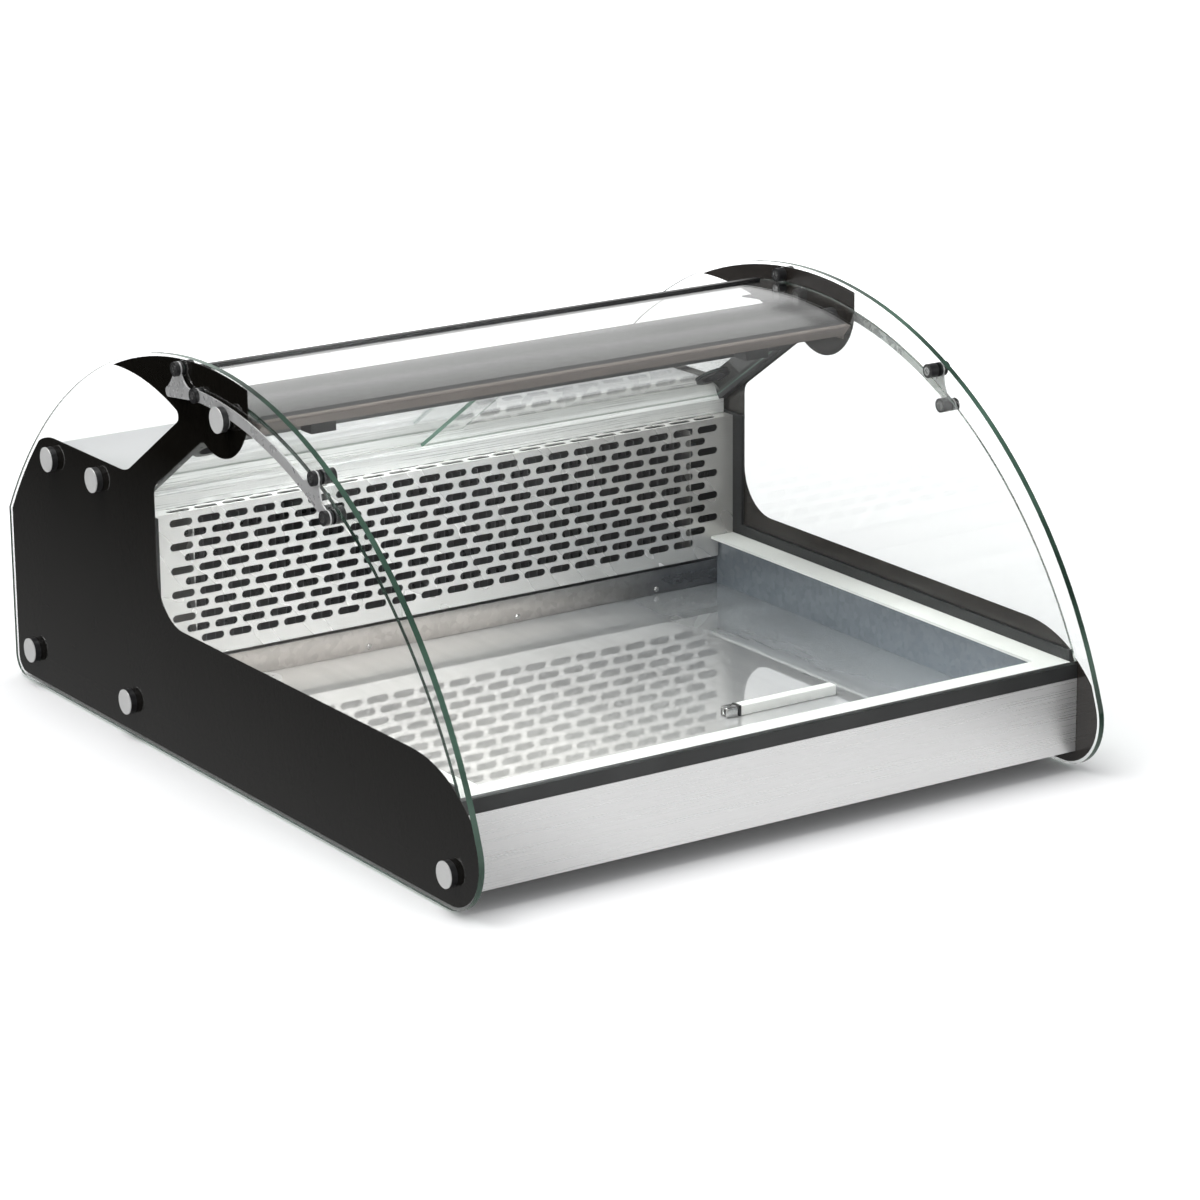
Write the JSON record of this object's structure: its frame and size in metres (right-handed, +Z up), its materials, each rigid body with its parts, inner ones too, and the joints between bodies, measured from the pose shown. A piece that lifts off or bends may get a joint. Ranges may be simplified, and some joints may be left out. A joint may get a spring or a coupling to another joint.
{
  "type": "countertop display fridge",
  "caption": "Countertop refrigerated display cabinet with curved sliding front glass, open well, perforated evaporator cover, lit canopy and sliding rear doors.",
  "frame": {"origin": "centre of the cabinet's footprint on the surface it stands on", "axes": "+Z up, +Y to the rear (operator side), +X to the right seen from the customer side"},
  "size_m": [0.723, 0.893, 0.4114],
  "materials": {
    "side_glass": "clear float glass with pale green polished edges",
    "front_glass": "clear curved toughened glass with green edges",
    "door_glass": "clear toughened glass",
    "mask_black": "gloss brown-black film behind the glass",
    "brushed_steel": "satin brushed stainless steel",
    "bright_steel": "bright annealed stainless sheet",
    "dark_steel": "dark grey powder coat",
    "black_plastic": "satin black plastic",
    "black_rubber": "matt black rubber",
    "white_plastic": "satin off-white plastic",
    "light_panel": "light grey satin coat",
    "foam": "closed-cell foam",
    "copper": "drawn copper tube",
    "fin_aluminium": "thin bright aluminium fins",
    "compressor_black": "gloss black enamel",
    "knob_steel": "spun satin stainless face",
    "screw_steel": "bright zinc-plated steel",
    "lamp_white": "frosted lamp diffuser",
    "window_black": "dark glossy display window",
    "button_grey": "grey soft-touch buttons",
    "rocker_red": "glossy switch rocker"
  },
  "bodies": {
    "cabinet": {"side_glass_left": "side_glass", "side_glass_right": "side_glass", "side_mask_left": "mask_black", "side_mask_right": "mask_black", "side_panel_left": "dark_steel", "side_panel_right": "dark_steel", "base_pan": "dark_steel", "feet": "black_rubber", "front_fascia": "brushed_steel", "front_strip": "black_plastic", "well_frame": "white_plastic", "well_tub": "bright_steel", "insulation": "foam", "drain_pipe": "white_plastic", "evaporator_cover": "bright_steel", "evaporator_fins": "fin_aluminium", "evaporator_tubes": "copper", "evaporator_brackets": "bright_steel", "evaporator_fan_frames": "black_plastic", "rear_top_panel": "light_panel", "rear_back_panel": "light_panel", "compressor_mounts": "black_rubber", "compressor": "compressor_black", "condenser_fins": "fin_aluminium", "condenser_tubes": "copper", "condenser_shroud": "dark_steel", "refrigerant_lines": "copper", "door_track_bottom": "black_plastic", "door_track_top": "black_plastic", "door_jambs": "black_plastic", "canopy_hood": "brushed_steel", "led_tube": "lamp_white", "led_holders": "white_plastic", "arm_plate_left": "brushed_steel", "arm_plate_right": "brushed_steel", "fitting_caps": "black_plastic", "guide_sleeves": "black_plastic", "guide_screws": "screw_steel", "knob_bodies": "black_plastic", "knob_faces": "knob_steel", "controller": "black_plastic", "controller_window": "window_black", "switch_housings": "black_plastic", "power_inlet": "black_plastic"},
    "front_screen": {"front_glass": "front_glass", "top_rail": "black_plastic"},
    "door_left": {"rear_door_left": "door_glass", "door_pull_left": "black_plastic"},
    "door_right": {"rear_door_right": "door_glass", "door_pull_right": "black_plastic"},
    "fan_left": {"evaporator_fan_left": "black_plastic"},
    "fan_right": {"evaporator_fan_right": "black_plastic"},
    "fan_condenser": {"condenser_fan": "black_plastic"},
    "button_set": {"controller_button_set": "button_grey"},
    "button_down": {"controller_button_down": "button_grey"},
    "button_up": {"controller_button_up": "button_grey"},
    "rocker_power": {"power_switch_rocker": "rocker_red"},
    "rocker_lamp": {"lamp_switch_rocker": "button_grey"},
    "strainer": {"drain_strainer": "bright_steel"},
    "thermometer_body": {"thermometer": "white_plastic"}
  },
  "joints": [
    {"name": "front_screen_slide", "type": "hinge", "parent": "cabinet", "child": "front_screen", "pos_m": [0, 0.03313, -0.1003], "axis": [-1, 0, 0], "range_deg": [0, 28]},
    {"name": "door_left_slide", "type": "slide", "parent": "cabinet", "child": "door_left", "axis": [1, 0, 0], "range_m": [0, 0.305]},
    {"name": "door_right_slide", "type": "slide", "parent": "cabinet", "child": "door_right", "axis": [-1, 0, 0], "range_m": [0, 0.305]},
    {"name": "fan_left_spin", "type": "hinge", "parent": "cabinet", "child": "fan_left", "pos_m": [-0.15, 0.2047, 0.157], "axis": [0, 1, 0], "continuous": true},
    {"name": "fan_right_spin", "type": "hinge", "parent": "cabinet", "child": "fan_right", "pos_m": [0.15, 0.2047, 0.157], "axis": [0, 1, 0], "continuous": true},
    {"name": "fan_condenser_spin", "type": "hinge", "parent": "cabinet", "child": "fan_condenser", "pos_m": [0.165, 0.3852, 0.0965], "axis": [0, 1, 0], "continuous": true},
    {"name": "button_set_press", "type": "slide", "parent": "cabinet", "child": "button_set", "axis": [0, -1, 0], "range_m": [0, 0.0008], "stiffness_N_per_m": 400},
    {"name": "button_down_press", "type": "slide", "parent": "cabinet", "child": "button_down", "axis": [0, -1, 0], "range_m": [0, 0.0008], "stiffness_N_per_m": 400},
    {"name": "button_up_press", "type": "slide", "parent": "cabinet", "child": "button_up", "axis": [0, -1, 0], "range_m": [0, 0.0008], "stiffness_N_per_m": 400},
    {"name": "rocker_power_tilt", "type": "hinge", "parent": "cabinet", "child": "rocker_power", "pos_m": [-0.287, 0.4408, 0.088], "axis": [1, 0, 0], "range_deg": [0, 16]},
    {"name": "rocker_lamp_tilt", "type": "hinge", "parent": "cabinet", "child": "rocker_lamp", "pos_m": [-0.243, 0.4408, 0.088], "axis": [1, 0, 0], "range_deg": [0, 16]},
    {"name": "strainer_lift", "type": "slide", "parent": "cabinet", "child": "strainer", "axis": [0, 0, 1], "range_m": [0, 0.02]},
    {"name": "thermometer_lift", "type": "slide", "parent": "cabinet", "child": "thermometer_body", "axis": [0, 0, 1], "range_m": [0, 0.08]}
  ]
}
